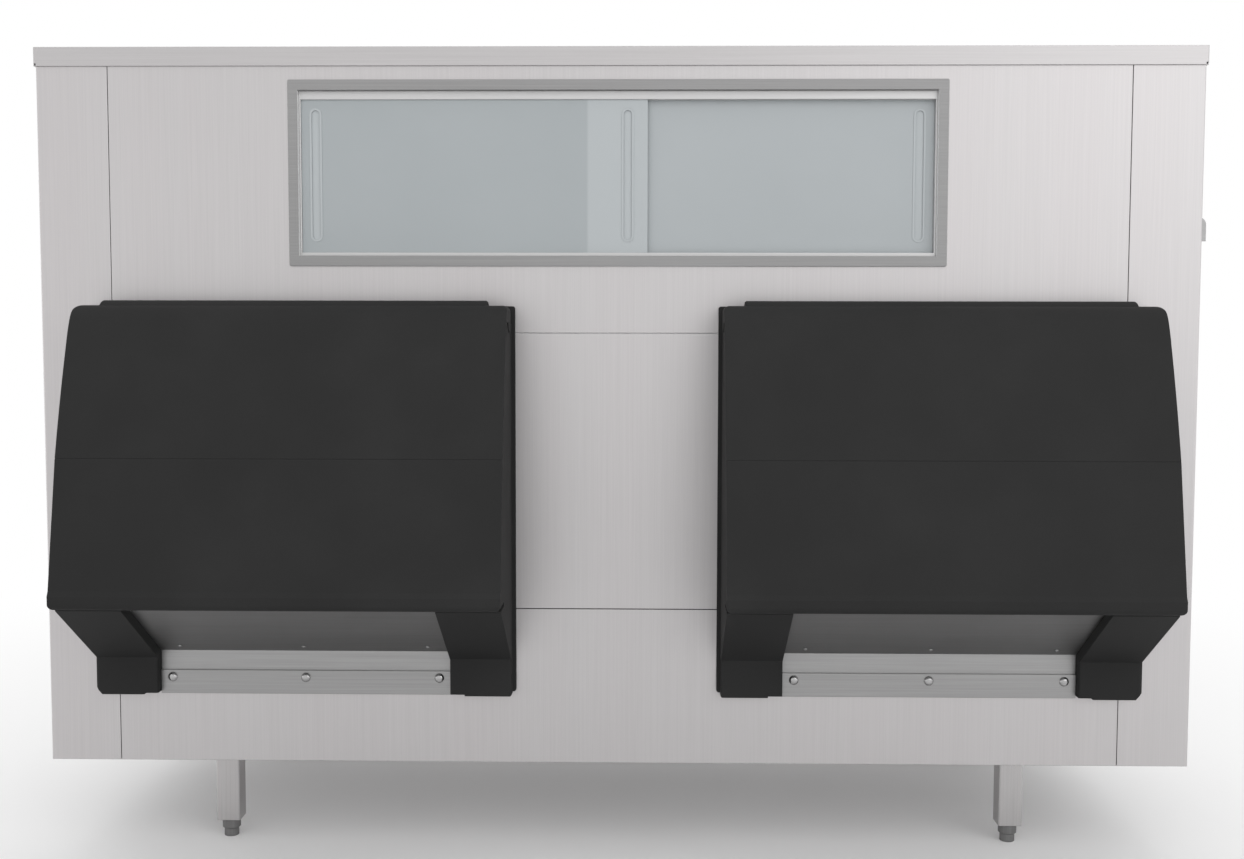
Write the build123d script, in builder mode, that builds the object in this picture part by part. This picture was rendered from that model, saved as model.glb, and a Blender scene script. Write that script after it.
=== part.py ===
from build123d import *
import os
from math import atan, cos, radians, sin

os.makedirs("parts", exist_ok=True)

# Cabinet. Heights run up from the underside of its base, depths back from its front plane.
bin_width = 1829.0
bin_depth = 800.0
body_height = 1107.0
leg_height = 170.0
outer_sheet = 1.5
liner_sheet = 2.0
wall = 75.0
panel_seam = 1.2
corner_strip = 112.7
corner_bend = 3.0
lower_seam_height = 250.0
upper_seam_height = 690.0
seat_gap = 0.3
through = 1.0

# Roof cover and the opening that the ice drops through
cover_height = 29.5
cover_overhang = 3.0
cover_front_overhang = 2.5
cover_rim = 12.0
cover_notch_width = 4.5
cover_notch_height = 4.0
roof_foam_height = 28.5
ice_inlet_width = 1100.0
ice_inlet_depth = 420.0
ice_inlet_behind = 430.0
gasket_width = 20.0
gasket_height = 3.0

# Liner and drain
floor_front_height = 105.0
floor_sump_height = 75.0
floor_slope_end = 600.0
drain_behind = 660.0
drain_pipe_radius = 16.0
drain_spigot_radius = 13.35
drain_bore_radius = 10.5
drain_reach_below = 40.0
drain_flange_radius = 30.0
drain_flange_height = 2.0
strainer_height = 2.5
strainer_centre_radius = 3.0
strainer_hole_radius = 1.5
strainer_ring_radius = 8.0
strainer_holes = 8

# Legs and levelling feet
leg_side_distance = 251.5
leg_inset = 115.0
leg_tube = 40.0
leg_wall = 3.0
leg_corner = 4.0
leg_plate = 110.0
leg_plate_height = 5.0
leg_bolt_spacing = 84.0
leg_bolt_radius = 4.0
leg_bolt_hole_radius = 4.4
leg_bolt_head_radius = 7.5
leg_bolt_head_height = 5.3
leg_insert_height = 20.0
foot_collar_radius = 15.25
foot_collar_height = 17.5
foot_collar_chamfer = 2.0
foot_pad_radius = 12.25
foot_pad_height = 13.5
foot_pad_rounding = 1.5
foot_stem_radius = 8.0
foot_stem_fit = 0.05
foot_stem_length = 46.0

# Window
window_half_width = 501.0
window_low = 811.2
window_high = 1069.5
window_band = 16.0
window_band_thickness = 3.0
window_band_corner = 3.0
window_neck = 2.5
track_behind = 6.0
track_lip = 2.0
track_rib = 2.0
track_groove = 6.0
track_top = 13.2
track_foot = 5.3
track_jamb = 2.5
track_floor = 2.0
pane_thickness = 5.0
pane_overlap = 96.2
pane_top_entry = 7.0
pull_width = 19.5
pull_height = 209.0
pull_lip = 0.8
pull_lip_width = 2.0
pull_wall = 1.5
pull_recess = 2.2
pull_fit = 0.2
pull_edge_distance = 22.5
pull_inner_distance = 31.3

# Side hook
hook_behind = 32.0
hook_low = 837.0
hook_height = 38.0
hook_reach = 17.5
hook_base_length = 26.0
hook_sheet = 2.0
hook_rounding = 12.0
hook_screw_spacing = 20.0
hook_screw_radius = 2.0
hook_screw_hole_radius = 2.2
hook_screw_head_radius = 4.2
hook_screw_head_height = 2.6

# Doors: chute frame. Heights as on the cabinet, reaches forward from its front plane.
door_side_distance = 416.0
door_flange_half_width = 338.2
door_flange_low = 116.8
door_flange_high = 732.2
door_flange_thickness = 5.0
door_flange_corner = 4.0
chute_half_width = 234.0
chute_wall = 4.0
chute_low = 184.0
chute_high = 664.0
cutout_gap = 0.5
pillar_half_width = 332.0
pillar_low = 112.0
pillar_front = 20.5
pillar_slant_low = 172.0
pillar_slant_slope = 0.664
pillar_nose_reach = 178.0
pillar_chamfer_width = 8.0
pillar_chamfer_height = 9.0
pillar_inner_chamfer = 2.0
pillar_foot_rounding = 3.0
pillar_step_width = 22.6
pillar_step_height = 2.5
cheek_half_width = 327.0
ear_half_width = 303.0
header_thickness = 12.0
floor_lip_length = 26.0
floor_lip_blend = 6.0

# Doors: lid outline in side view
hinge_reach = 45.0
hinge_height = 712.0
lid_top = 732.0
shoulder_start = 60.0
shoulder_radius = 39.6
shoulder_turn = 63.6
brow_reach = 110.5
brow_height = 672.5
belly_reach = 138.0
belly_height = 590.5
waist_reach = 163.0
waist_height = 503.0
lip_root_reach = 200.0
lip_root_height = 310.0
lid_reach = 204.0
lip_crown_height = 303.0
lid_low = 281.5
lip_rounding = 10.0
crease_radius = 0.8

# Doors: lid and its hinge barrel
lid_half_width = 333.2
lid_corner = 9.0
lid_shell = 4.0
lid_under_gap = 2.5
skirt_foot_reach = 137.6
skirt_bend_reach = 130.0
skirt_bend_height = 350.0
skirt_neck_reach = 95.0
skirt_neck_height = 664.0
skirt_top_reach = 88.0
skirt_top_height = 706.0
skirt_back_reach = 43.5
skirt_ear_radius = 20.0
skirt_clearance = 2.0
barrel_half_width = 300.0
barrel_radius = 28.0
barrel_wall = 4.0
barrel_front_angle = 45.0
barrel_back_angle = 200.0
barrel_clearance = 2.0
barrel_end_rounding = 3.5
web_thickness = 5.0
web_place = 100.0
web_reach = 62.0
web_setback = 1.0
ear_radius = 13.0
ear_block_reach = 19.0
rod_radius = 5.0
rod_fit = 0.05
rod_end_cover = 4.0
lid_liner_inset = 22.0
lid_liner_thickness = 3.0
lid_rib_low = 686.0
lid_rib_high = 690.0
cheek_inset = 28.0
lid_gasket_width = 12.0
lid_gasket_inner = 300.0
lid_gasket_low = 300.0
lid_gasket_high = 680.0
lid_gasket_gap = 0.8

# Doors: chute tray, clamp strip and their fixings
tray_sheet = 2.0
tray_slope = 0.658
tray_foot_height = 179.0
tray_reach = 172.0
tray_flange_low = 118.0
tray_hem = 12.0
strip_low = 110.8
strip_high = 148.7
strip_thickness = 3.0
strip_bolt_height = 137.6
strip_bolt_spacing = 214.8
strip_bolt_radius = 4.0
strip_bolt_hole_radius = 4.3
strip_bolt_head_radius = 7.6
strip_bolt_head_height = 4.6
strip_bolt_head_rounding = 3.6
rivet_reach = 18.2
rivet_spacing = 198.5
rivet_radius = 2.4
rivet_hole_radius = 2.5
rivet_head_radius = 3.2
rivet_head_height = 2.2
rivet_head_taper = 40.0

# Doors: ice gate in its tracks
gate_behind = 10.0
gate_thickness = 8.0
gate_high = 440.0
gate_side_gap = 0.5
gate_play = 0.5
gate_track_width = 12.0
gate_track_wall = 2.5
gate_track_high = 660.0
handle_half_width = 70.0
handle_height = 36.0
handle_top_height = 432.0
handle_sheet = 3.0
handle_reach = 24.0
handle_lip = 14.0

# Derived sizes
half_width = bin_width / 2
front_y = (lid_reach - bin_depth) / 2
liner_half_width = half_width - wall + liner_sheet
liner_front = wall - liner_sheet
liner_back = bin_depth - wall + liner_sheet
liner_top = body_height - roof_foam_height
track_depth = 2 * track_lip + track_rib + 2 * track_groove
neck_half_width = window_half_width + window_neck
tray_angle = atan(tray_slope)
tray_rise = tray_sheet / cos(tray_angle)
floor_lip_rise = chute_wall / cos(tray_angle)
cheek_low = lid_low - lid_under_gap
outline_margin = 60.0
gate_middle = gate_behind + gate_thickness / 2
gate_groove = gate_thickness + 2 * gate_play
gate_half_width = chute_half_width - gate_track_wall - gate_side_gap
gate_lip_width = gate_track_width - gate_track_wall
web_places = (
    barrel_half_width,
    web_place + web_thickness / 2,
    web_thickness / 2 - web_place,
    web_thickness - barrel_half_width,
)
door_places = {"left": door_side_distance - half_width, "right": half_width - door_side_distance}
outer_chamfer = (pillar_chamfer_width, pillar_chamfer_height)
inner_chamfer = (pillar_inner_chamfer, pillar_inner_chamfer)
pillar_chamfers = {
    "left": {-1: outer_chamfer, 1: inner_chamfer},
    "right": {-1: inner_chamfer, 1: outer_chamfer},
}


def side_view(x):
    """Sketch plane at width x: first axis forward out of the front, second axis up."""
    return Plane(origin=(x, front_y, leg_height), x_dir=(0, -1, 0), z_dir=(-1, 0, 0))


def side_bands(x, inner, outer):
    """Planes from which a profile, extruded by outer - inner, fills the bands on both sides of x."""
    return side_view(x + outer), side_view(x - inner)


def front_view(reach, x=0.0):
    """Sketch plane at this reach before the front: first axis to the right, second axis up."""
    return Plane(origin=(x, front_y - reach, leg_height), x_dir=(1, 0, 0), z_dir=(0, -1, 0))


def top_view(height, x=0.0):
    """Level sketch plane: first axis to the right, second axis back from the front."""
    return Plane(origin=(x, front_y, leg_height + height), x_dir=(1, 0, 0), z_dir=(0, 0, 1))


def door_cutouts(gap):
    """Front-view face of the holes that both chute throats pass through."""
    with BuildSketch() as face:
        with Locations(*[(x, (chute_low + chute_high) / 2) for x in door_places.values()]):
            Rectangle(
                2 * (chute_half_width + chute_wall + gap),
                chute_high - chute_low + 2 * (chute_wall + gap),
            )
    return face.sketch


def window_cutout(gap):
    """Front-view face of the hole that the window frame's neck passes through."""
    with BuildSketch() as face:
        with Locations((0, (window_low + window_high) / 2)):
            Rectangle(2 * (neck_half_width + gap), window_high - window_low + 2 * (window_neck + gap))
    return face.sketch


def upright(low, high, x_low, x_high):
    """Front-view rectangle between two heights and two widths."""
    with BuildSketch() as face:
        with Locations((x_low, low)):
            Rectangle(x_high - x_low, high - low, align=(Align.MIN, Align.MIN))
    return face.sketch


def under_lid(inset, low, back=0.0):
    """Side-view face under the lid's outer surface, moved in by inset and cut off at low and back."""
    with BuildSketch() as face:
        with BuildLine():
            top = Line((-outline_margin, lid_top), (shoulder_start, lid_top))
            shoulder = JernArc(top @ 1, top % 1, shoulder_radius, -shoulder_turn)
            brow = TangentArc(shoulder @ 1, (brow_reach, brow_height), tangent=shoulder % 1)
            belly = ThreePointArc(brow @ 1, (belly_reach, belly_height), (waist_reach, waist_height))
            Polyline(
                belly @ 1,
                (lip_root_reach, lip_root_height),
                (lid_reach, lip_crown_height),
                (lid_reach, lid_low - outline_margin),
                (-outline_margin, lid_low - outline_margin),
                top @ 0,
            )
        make_face()
        if inset > 0:
            offset(amount=-inset)
        with Locations((back, low)):
            Rectangle(2 * lid_reach, lid_top, align=(Align.MIN, Align.MIN), mode=Mode.INTERSECT)
    return face.sketch


def behind_skirt(gap):
    """Side-view face behind the back edge of the lid's side skirts, less a gap."""
    with BuildSketch() as face:
        with BuildLine():
            Polyline(
                (-through, cheek_low),
                (skirt_foot_reach - gap, cheek_low),
                (skirt_foot_reach - gap, lid_low),
                (skirt_bend_reach - gap, skirt_bend_height),
                (skirt_neck_reach - gap, skirt_neck_height),
                (skirt_top_reach - gap, skirt_top_height - gap),
                (skirt_back_reach - gap, skirt_top_height - gap),
                (skirt_back_reach - gap, lid_top + through),
                (-through, lid_top + through),
                close=True,
            )
        make_face()
    return face.sketch


def pillar_profile():
    """Side-view face of a pillar below the lid, with its slanted underside."""
    nose_low = pillar_slant_low + pillar_slant_slope * (pillar_nose_reach - pillar_front)
    with BuildSketch() as face:
        with BuildLine():
            Polyline(
                (0, pillar_low),
                (pillar_front, pillar_low),
                (pillar_front, pillar_slant_low),
                (pillar_nose_reach, nose_low),
                (pillar_nose_reach, cheek_low),
                (0, cheek_low),
                close=True,
            )
        make_face()
    return face.sketch


def rivet_plane(x):
    """Sketch plane on the tray's underside at its rivets, facing down and forward."""
    height = tray_foot_height + tray_slope * rivet_reach
    return Plane(
        origin=(x, front_y - rivet_reach, leg_height + height),
        x_dir=(1, 0, 0),
        z_dir=(0, -sin(tray_angle), -cos(tray_angle)),
    )


def hinge_disc(radius):
    """Side-view disc about the hinge rod."""
    with BuildSketch() as face:
        with Locations((hinge_reach, hinge_height)):
            Circle(radius)
    return face.sketch


# Cabinet shell
for side, sign in (("left", -1), ("right", 1)):
    with BuildPart() as side_panel:
        with BuildSketch(top_view(0)):
            with Locations((sign * (half_width - outer_sheet / 2), bin_depth / 2)):
                Rectangle(outer_sheet, bin_depth)
            with Locations((sign * (half_width - corner_strip / 2), outer_sheet / 2)):
                Rectangle(corner_strip, outer_sheet)
            fillet(vertices().sort_by_distance((sign * half_width, 0))[0], corner_bend)
            fillet(
                vertices().sort_by_distance((sign * (half_width - outer_sheet), outer_sheet))[0],
                corner_bend - outer_sheet,
            )
        extrude(amount=body_height)
        if side == "right":
            with BuildSketch(Plane.YZ.offset(half_width)):
                with Locations((front_y + hook_behind + hook_base_length / 2 + hook_sheet,
                                leg_height + hook_low + hook_height / 2)):
                    with GridLocations(hook_screw_spacing, hook_screw_spacing, 1, 2):
                        Circle(hook_screw_hole_radius)
            extrude(amount=-outer_sheet, mode=Mode.SUBTRACT)
    side_panel.part.label = f"side_panel_{side}"
    export_step(side_panel.part, f"parts/side_panel_{side}.step")

front_half_width = half_width - corner_strip - panel_seam

with BuildPart() as lower_panel:
    with BuildSketch(front_view(0)):
        add(upright(0, lower_seam_height - panel_seam / 2, -front_half_width, front_half_width))
        add(door_cutouts(cutout_gap), mode=Mode.SUBTRACT)
        for place in door_places.values():
            with Locations((place, strip_bolt_height)):
                with GridLocations(strip_bolt_spacing, 0, 3, 1):
                    Circle(strip_bolt_hole_radius, mode=Mode.SUBTRACT)
    extrude(amount=-outer_sheet)
lower_panel.part.label = "lower_panel"
export_step(lower_panel.part, "parts/lower_panel.step")

with BuildPart() as centre_panel:
    with BuildSketch(front_view(0)):
        add(upright(lower_seam_height + panel_seam / 2, upper_seam_height - panel_seam / 2,
                    -front_half_width, front_half_width))
        add(door_cutouts(cutout_gap), mode=Mode.SUBTRACT)
    extrude(amount=-outer_sheet)
centre_panel.part.label = "centre_panel"
export_step(centre_panel.part, "parts/centre_panel.step")

with BuildPart() as window_panel:
    with BuildSketch(front_view(0)):
        add(upright(upper_seam_height + panel_seam / 2, body_height, -front_half_width, front_half_width))
        add(window_cutout(cutout_gap), mode=Mode.SUBTRACT)
    extrude(amount=-outer_sheet)
window_panel.part.label = "window_panel"
export_step(window_panel.part, "parts/window_panel.step")

with BuildPart() as back_panel:
    with BuildSketch(front_view(outer_sheet - bin_depth)):
        add(upright(0, body_height, outer_sheet - half_width, half_width - outer_sheet))
    extrude(amount=-outer_sheet)
back_panel.part.label = "back_panel"
export_step(back_panel.part, "parts/back_panel.step")

leg_centre_x = half_width - leg_side_distance
leg_places = {
    "front_left": (-leg_centre_x, leg_inset + leg_tube / 2),
    "front_right": (leg_centre_x, leg_inset + leg_tube / 2),
    "rear_left": (-leg_centre_x, bin_depth - leg_inset - leg_tube / 2),
    "rear_right": (leg_centre_x, bin_depth - leg_inset - leg_tube / 2),
}

with BuildPart() as base_pan:
    with BuildSketch(top_view(0)):
        with Locations((0, bin_depth / 2)):
            Rectangle(bin_width - 2 * outer_sheet, bin_depth - 2 * outer_sheet)
        fillet(vertices().group_by(Axis.Y)[0], corner_bend)
        with Locations((0, drain_behind)):
            Circle(drain_pipe_radius + seat_gap, mode=Mode.SUBTRACT)
        with Locations(*leg_places.values()):
            with GridLocations(leg_bolt_spacing, leg_bolt_spacing, 2, 2):
                Circle(leg_bolt_hole_radius, mode=Mode.SUBTRACT)
    extrude(amount=outer_sheet)
base_pan.part.label = "base_pan"
export_step(base_pan.part, "parts/base_pan.step")

# Roof cover: a shallow pan upside down, with a folded rim that rests on the walls
cover_half_width = half_width + cover_overhang
cover_top = body_height + cover_height
ice_inlet = (ice_inlet_width, ice_inlet_depth)

with BuildPart() as top_cover:
    with BuildSketch(top_view(body_height)):
        with Locations((0, -cover_front_overhang)):
            Rectangle(
                2 * cover_half_width,
                bin_depth + cover_front_overhang,
                align=(Align.CENTER, Align.MIN),
            )
        fillet(vertices(), corner_bend)
    extrude(amount=cover_height)
    with BuildSketch(top_view(body_height + outer_sheet)):
        with Locations((0, outer_sheet - cover_front_overhang)):
            Rectangle(
                2 * (cover_half_width - outer_sheet),
                bin_depth + cover_front_overhang - 2 * outer_sheet,
                align=(Align.CENTER, Align.MIN),
            )
    extrude(amount=cover_height - 2 * outer_sheet, mode=Mode.SUBTRACT)
    with BuildSketch(top_view(body_height)):
        with Locations((0, cover_rim - cover_front_overhang)):
            Rectangle(
                2 * (cover_half_width - cover_rim),
                bin_depth + cover_front_overhang - 2 * cover_rim,
                align=(Align.CENTER, Align.MIN),
            )
    extrude(amount=outer_sheet, mode=Mode.SUBTRACT)
    with BuildSketch(top_view(cover_top)):
        with Locations((0, ice_inlet_behind)):
            Rectangle(*ice_inlet)
    extrude(amount=-outer_sheet, mode=Mode.SUBTRACT)
    with BuildSketch(front_view(cover_front_overhang)):
        with Locations((cover_notch_width / 2 - cover_half_width, body_height),
                       (cover_half_width - cover_notch_width / 2, body_height)):
            Rectangle(cover_notch_width, cover_notch_height, align=(Align.CENTER, Align.MIN))
    extrude(amount=-cover_front_overhang, mode=Mode.SUBTRACT)
top_cover.part.label = "top_cover"
export_step(top_cover.part, "parts/top_cover.step")

with BuildPart() as machine_gasket:
    with BuildSketch(top_view(cover_top)):
        with Locations((0, ice_inlet_behind)):
            Rectangle(ice_inlet_width + 2 * gasket_width, ice_inlet_depth + 2 * gasket_width)
            Rectangle(*ice_inlet, mode=Mode.SUBTRACT)
    extrude(amount=gasket_height)
machine_gasket.part.label = "machine_gasket"
export_step(machine_gasket.part, "parts/machine_gasket.step")

# Insulation between the outer sheets and the liner
with BuildPart() as insulation_front:
    with BuildSketch(front_view(-outer_sheet)):
        add(upright(outer_sheet, body_height, outer_sheet - half_width, half_width - outer_sheet))
        add(door_cutouts(cutout_gap), mode=Mode.SUBTRACT)
        add(window_cutout(cutout_gap), mode=Mode.SUBTRACT)
    extrude(amount=outer_sheet - liner_front)
    front_edges = edges().filter_by(Axis.Z).group_by(Axis.Y)[0].sort_by(Axis.X)
    fillet((front_edges[0], front_edges[-1]), corner_bend)
insulation_front.part.label = "insulation_front"
export_step(insulation_front.part, "parts/insulation_front.step")

with BuildPart() as insulation_back:
    with BuildSketch(front_view(-liner_back)):
        add(upright(outer_sheet, body_height, outer_sheet - half_width, half_width - outer_sheet))
    extrude(amount=liner_back + outer_sheet - bin_depth)
insulation_back.part.label = "insulation_back"
export_step(insulation_back.part, "parts/insulation_back.step")

for side, sign in (("left", -1), ("right", 1)):
    with BuildPart() as insulation_side:
        with BuildSketch(top_view(outer_sheet)):
            with Locations((sign * (liner_half_width + half_width - outer_sheet) / 2, bin_depth / 2)):
                Rectangle(half_width - outer_sheet - liner_half_width, liner_back - liner_front)
        extrude(amount=body_height - outer_sheet)
    insulation_side.part.label = f"insulation_{side}"
    export_step(insulation_side.part, f"parts/insulation_{side}.step")


def liner_section(sheet, low):
    """Side-view face of the liner's box above its sloped floor, moved in by sheet, up or down to low."""
    with BuildSketch() as face:
        with BuildLine():
            Polyline(
                (-liner_front - sheet, floor_front_height - liner_sheet + sheet),
                (-floor_slope_end, floor_sump_height - liner_sheet + sheet),
                (sheet - liner_back, floor_sump_height - liner_sheet + sheet),
                (sheet - liner_back, low),
                (-liner_front - sheet, low),
                close=True,
            )
        make_face()
    return face.sketch


with BuildPart() as insulation_floor:
    with BuildSketch(side_view(0)):
        add(liner_section(0, outer_sheet))
    extrude(amount=liner_half_width, both=True)
    with BuildSketch(top_view(outer_sheet)):
        with Locations((0, drain_behind)):
            Circle(drain_pipe_radius + seat_gap)
    extrude(amount=floor_front_height, mode=Mode.SUBTRACT)
insulation_floor.part.label = "insulation_floor"
export_step(insulation_floor.part, "parts/insulation_floor.step")

with BuildPart() as insulation_top:
    with BuildSketch(top_view(liner_top)):
        with Locations((0, bin_depth / 2)):
            Rectangle(2 * liner_half_width, liner_back - liner_front)
    extrude(amount=roof_foam_height)
    with BuildSketch(top_view(body_height)):
        with Locations((0, cover_rim - cover_front_overhang + seat_gap)):
            Rectangle(
                2 * (cover_half_width - cover_rim - seat_gap),
                bin_depth + cover_front_overhang - 2 * (cover_rim + seat_gap),
                align=(Align.CENTER, Align.MIN),
            )
    extrude(amount=outer_sheet)
    with BuildSketch(top_view(body_height + outer_sheet)):
        with Locations((0, outer_sheet - cover_front_overhang + seat_gap)):
            Rectangle(
                2 * (cover_half_width - outer_sheet - seat_gap),
                bin_depth + cover_front_overhang - 2 * (outer_sheet + seat_gap),
                align=(Align.CENTER, Align.MIN),
            )
    extrude(amount=cover_height - 2 * outer_sheet)
    with BuildSketch(top_view(liner_top)):
        with Locations((0, ice_inlet_behind)):
            Rectangle(
                ice_inlet_width + 2 * (liner_sheet + seat_gap),
                ice_inlet_depth + 2 * (liner_sheet + seat_gap),
            )
    extrude(amount=roof_foam_height + cover_height, mode=Mode.SUBTRACT)
insulation_top.part.label = "insulation_top"
export_step(insulation_top.part, "parts/insulation_top.step")

with BuildPart() as liner:
    with BuildSketch(side_view(0)):
        add(liner_section(0, liner_top))
    extrude(amount=liner_half_width, both=True)
    with BuildSketch(top_view(liner_top)):
        with Locations((0, ice_inlet_behind)):
            Rectangle(ice_inlet_width + 2 * liner_sheet, ice_inlet_depth + 2 * liner_sheet)
    extrude(amount=cover_top - outer_sheet - liner_top)
    with BuildSketch(side_view(0)):
        add(liner_section(liner_sheet, liner_top - liner_sheet))
    extrude(amount=liner_half_width - liner_sheet, both=True, mode=Mode.SUBTRACT)
    with BuildSketch(top_view(liner_top - liner_sheet)):
        with Locations((0, ice_inlet_behind)):
            Rectangle(*ice_inlet)
    extrude(amount=cover_height + roof_foam_height + liner_sheet, mode=Mode.SUBTRACT)
    with BuildSketch(front_view(-liner_front)):
        add(door_cutouts(cutout_gap))
        add(window_cutout(cutout_gap))
    extrude(amount=-liner_sheet, mode=Mode.SUBTRACT)
    with BuildSketch(top_view(0)):
        with Locations((0, drain_behind)):
            Circle(drain_pipe_radius + seat_gap)
    extrude(amount=floor_front_height, mode=Mode.SUBTRACT)
liner.part.label = "liner"
export_step(liner.part, "parts/liner.step")

# Drain: a flanged pipe in the sump with a strainer plate on it
with BuildPart() as drain_fitting:
    with BuildSketch(top_view(floor_sump_height)):
        with Locations((0, drain_behind)):
            Circle(drain_flange_radius)
    extrude(amount=drain_flange_height)
    with BuildSketch(top_view(0)):
        with Locations((0, drain_behind)):
            Circle(drain_pipe_radius)
    extrude(amount=floor_sump_height)
    with BuildSketch(top_view(-drain_reach_below)):
        with Locations((0, drain_behind)):
            Circle(drain_spigot_radius)
    extrude(amount=drain_reach_below)
    with BuildSketch(top_view(-drain_reach_below)):
        with Locations((0, drain_behind)):
            Circle(drain_bore_radius)
    extrude(amount=drain_reach_below + floor_sump_height + drain_flange_height, mode=Mode.SUBTRACT)
drain_fitting.part.label = "drain_fitting"
export_step(drain_fitting.part, "parts/drain_fitting.step")

with BuildPart() as drain_strainer:
    with BuildSketch(top_view(floor_sump_height + drain_flange_height)):
        with Locations((0, drain_behind)):
            Circle(drain_flange_radius)
            Circle(strainer_centre_radius, mode=Mode.SUBTRACT)
            with PolarLocations(strainer_ring_radius, strainer_holes):
                Circle(strainer_hole_radius, mode=Mode.SUBTRACT)
    extrude(amount=strainer_height)
drain_strainer.part.label = "drain_strainer"
export_step(drain_strainer.part, "parts/drain_strainer.step")

# Window frame, its track, the two panes and their pulls
window_height = window_high - window_low
window_middle = (window_low + window_high) / 2

with BuildPart() as window_frame:
    with BuildSketch(front_view(0)):
        with Locations((0, window_middle)):
            RectangleRounded(
                2 * (window_half_width + window_band), window_height + 2 * window_band, window_band_corner
            )
            Rectangle(2 * window_half_width, window_height, mode=Mode.SUBTRACT)
    extrude(amount=window_band_thickness)
    with BuildSketch(front_view(0)):
        add(window_cutout(0))
        with Locations((0, window_middle)):
            Rectangle(2 * window_half_width, window_height, mode=Mode.SUBTRACT)
    extrude(amount=-wall)
window_frame.part.label = "window_frame"
export_step(window_frame.part, "parts/window_frame.step")

track_half_width = window_half_width - seat_gap
track_low = window_low + seat_gap
track_high = window_high - seat_gap
sight_half_width = track_half_width - track_jamb
sight_low = track_low + track_foot
sight_high = track_high - track_top
groove_reaches = (
    -track_behind - track_lip,
    -track_behind - track_lip - track_groove - track_rib,
)

with BuildPart() as window_track:
    with BuildSketch(front_view(-track_behind)):
        add(upright(track_low, track_high, -track_half_width, track_half_width))
        add(upright(sight_low, sight_high, -sight_half_width, sight_half_width), mode=Mode.SUBTRACT)
    extrude(amount=-track_depth)
    for reach in groove_reaches:
        with BuildSketch(front_view(reach)):
            add(upright(
                track_low + track_floor, track_high - track_floor, -sight_half_width, sight_half_width
            ))
        extrude(amount=-track_groove, mode=Mode.SUBTRACT)
window_track.part.label = "window_track"
export_step(window_track.part, "parts/window_track.step")

pane_low = track_low + track_floor + seat_gap
pane_high = sight_high + pane_top_entry
pane_outer = sight_half_width - seat_gap
pane_play = (track_groove - pane_thickness) / 2
pane_inner = -pane_overlap / 2
pane_middle = (pane_low + pane_high) / 2
pull_body_width = pull_width - 2 * pull_lip_width
pull_body_height = pull_height - 2 * pull_lip_width
pane_pulls = {
    "left": (pull_edge_distance - pane_outer, -pane_inner - pull_inner_distance),
    "right": (pane_outer - pull_edge_distance,),
}
pane_spans = {"left": (-pane_outer, -pane_inner), "right": (pane_inner, pane_outer)}

for side, groove in zip(("left", "right"), groove_reaches):
    pane_front = groove - pane_play
    with BuildPart() as window_pane:
        with BuildSketch(front_view(pane_front)):
            add(upright(pane_low, pane_high, *pane_spans[side]))
            with Locations(*[(x, pane_middle) for x in pane_pulls[side]]):
                SlotOverall(
                    pull_body_height + 2 * pull_fit, pull_body_width + 2 * pull_fit,
                    rotation=90, mode=Mode.SUBTRACT,
                )
        extrude(amount=-pane_thickness)
    window_pane.part.label = f"window_pane_{side}"
    export_step(window_pane.part, f"parts/window_pane_{side}.step")

    with BuildPart() as pane_pull:
        with BuildSketch(front_view(pane_front)):
            with Locations(*[(x, pane_middle) for x in pane_pulls[side]]):
                SlotOverall(pull_height, pull_width, rotation=90)
        extrude(amount=pull_lip)
        with BuildSketch(front_view(pane_front)):
            with Locations(*[(x, pane_middle) for x in pane_pulls[side]]):
                SlotOverall(pull_body_height, pull_body_width, rotation=90)
        extrude(amount=seat_gap - pane_thickness)
        with BuildSketch(front_view(pane_front + pull_lip)):
            with Locations(*[(x, pane_middle) for x in pane_pulls[side]]):
                SlotOverall(
                    pull_body_height - 2 * pull_wall, pull_body_width - 2 * pull_wall, rotation=90
                )
        extrude(amount=-pull_recess, mode=Mode.SUBTRACT)
    pane_pull.part.label = f"pane_pulls_{side}"
    export_step(pane_pull.part, f"parts/pane_pulls_{side}.step")

# Side hook: a bent bracket screwed to the right side panel
hook_screw_y = front_y + hook_behind + hook_sheet + hook_base_length / 2
hook_middle = leg_height + hook_low + hook_height / 2

with BuildPart() as side_hook:
    with BuildSketch(front_view(-hook_behind, half_width)):
        with Locations((0, hook_low)):
            Rectangle(hook_reach, hook_height, align=(Align.MIN, Align.MIN))
        fillet(vertices().sort_by_distance((hook_reach, hook_low + hook_height))[0], hook_rounding)
    extrude(amount=-hook_sheet)
    with BuildSketch(Plane.YZ.offset(half_width)):
        with Locations((hook_screw_y, hook_middle)):
            Rectangle(hook_base_length, hook_height)
            with GridLocations(hook_screw_spacing, hook_screw_spacing, 1, 2):
                Circle(hook_screw_hole_radius, mode=Mode.SUBTRACT)
    extrude(amount=hook_sheet)
side_hook.part.label = "side_hook"
export_step(side_hook.part, "parts/side_hook.step")

with BuildPart() as hook_screws:
    with BuildSketch(Plane.YZ.offset(half_width - outer_sheet)):
        with Locations((hook_screw_y, hook_middle)):
            with GridLocations(hook_screw_spacing, hook_screw_spacing, 1, 2):
                Circle(hook_screw_radius)
    extrude(amount=outer_sheet + hook_sheet)
    with BuildSketch(Plane.YZ.offset(half_width + hook_sheet)):
        with Locations((hook_screw_y, hook_middle)):
            with GridLocations(hook_screw_spacing, hook_screw_spacing, 1, 2):
                Circle(hook_screw_head_radius)
    extrude(amount=hook_screw_head_height)
hook_screws.part.label = "hook_screws"
export_step(hook_screws.part, "parts/hook_screws.step")

# Legs: square tubes with a bolted plate above and an end insert that the foot screws into
tube_low = foot_collar_height + foot_pad_height - leg_height

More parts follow.
